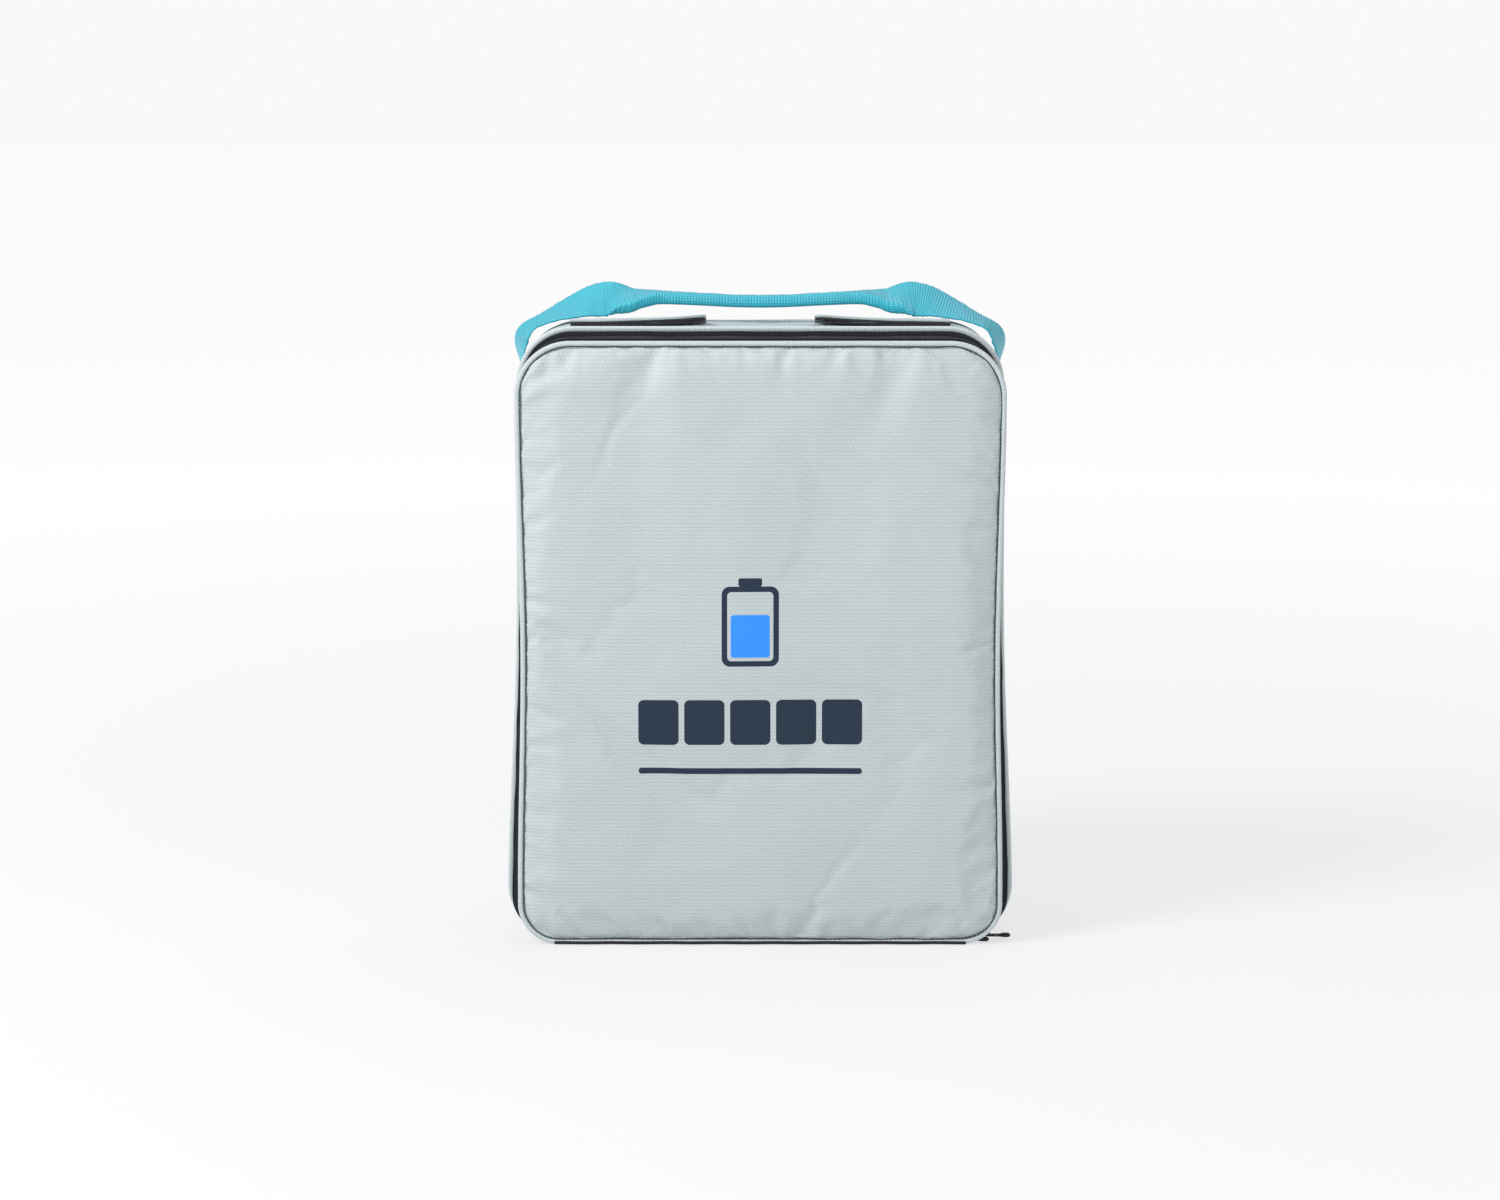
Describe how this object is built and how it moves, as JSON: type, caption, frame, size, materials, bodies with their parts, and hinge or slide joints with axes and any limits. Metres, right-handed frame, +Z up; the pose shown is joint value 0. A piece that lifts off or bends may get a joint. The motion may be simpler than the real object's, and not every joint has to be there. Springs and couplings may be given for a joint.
{
  "type": "fire-resistant battery bag",
  "caption": "Upright padded battery bag with a zipped fold-down front panel, webbing top handle, cable flaps and a two-slider zip.",
  "frame": {"origin": "centre of the flat base, on the surface the bag stands on", "axes": "+X right as seen from the front, the front panel faces -Y, +Z up"},
  "size_m": [0.368, 0.1601, 0.466],
  "materials": {
    "panel_fabric": "satin",
    "wall_fabric": "satin",
    "insulation": "matte",
    "liner": "satin",
    "piping": "matte",
    "binding": "matte",
    "zip_tape": "matte",
    "hook_and_loop": "matte",
    "webbing": "satin",
    "slider": "satin",
    "pull_metal": "gloss"
  },
  "bodies": {
    "root": {"side_wall_left": "wall_fabric", "side_wall_right": "wall_fabric", "top_panel": "wall_fabric", "base_panel": "wall_fabric", "back_outer": "wall_fabric", "gusset_insulation": "insulation", "back_insulation": "insulation", "gusset_liner": "liner", "back_liner": "liner", "back_piping": "piping", "rim_binding": "binding", "zip_tape_body": "zip_tape", "hinge_strip": "zip_tape", "zip_end_tab_left": "zip_tape", "zip_end_tab_right": "zip_tape", "loop_strip_left": "hook_and_loop", "loop_strip_right": "hook_and_loop", "handle_end_left": "webbing", "handle_end_right": "webbing", "zip_slider_lower": "slider"},
    "front_panel": {"panel_outer": "panel_fabric", "panel_insulation": "insulation", "panel_liner": "liner", "panel_piping": "piping", "zip_tape_panel": "zip_tape"},
    "flap_left": {"cable_flap_left": "wall_fabric", "hook_strip_left": "hook_and_loop"},
    "flap_right": {"cable_flap_right": "wall_fabric", "hook_strip_right": "hook_and_loop"},
    "handle": {"handle_webbing": "webbing"},
    "slider_upper": {"zip_slider_upper": "slider"},
    "pull_upper": {"zip_pull_upper": "pull_metal"},
    "pull_lower": {"zip_pull_lower": "pull_metal"}
  },
  "joints": [
    {"name": "front_panel_hinge", "type": "hinge", "parent": "root", "child": "front_panel", "pos_m": [0, -0.0784, 0.0066], "axis": [1, 0, 0], "range_deg": [0, 90]},
    {"name": "flap_left_hinge", "type": "hinge", "parent": "root", "child": "flap_left", "pos_m": [-0.0875, -0.027, 0.4523], "axis": [1, 0, 0], "range_deg": [-80, 0]},
    {"name": "flap_right_hinge", "type": "hinge", "parent": "root", "child": "flap_right", "pos_m": [0.0875, -0.027, 0.4523], "axis": [1, 0, 0], "range_deg": [-80, 0]},
    {"name": "handle_swing", "type": "hinge", "parent": "root", "child": "handle", "pos_m": [0, 0, 0.39], "axis": [1, 0, 0], "range_deg": [-15, 5]},
    {"name": "slider_upper_travel", "type": "hinge", "parent": "root", "child": "slider_upper", "pos_m": [0.153, -0.068, 0.034], "axis": [0, 1, 0], "range_deg": [-66, 0]},
    {"name": "pull_upper_swing", "type": "hinge", "parent": "slider_upper", "child": "pull_upper", "pos_m": [0.16511, -0.0652, 0.00244], "axis": [0, 1, 0], "range_deg": [-15, 90]},
    {"name": "pull_lower_swing", "type": "hinge", "parent": "root", "child": "pull_lower", "pos_m": [0.149, -0.0708, 0.0008], "axis": [0, 1, 0], "range_deg": [0, 120]}
  ]
}
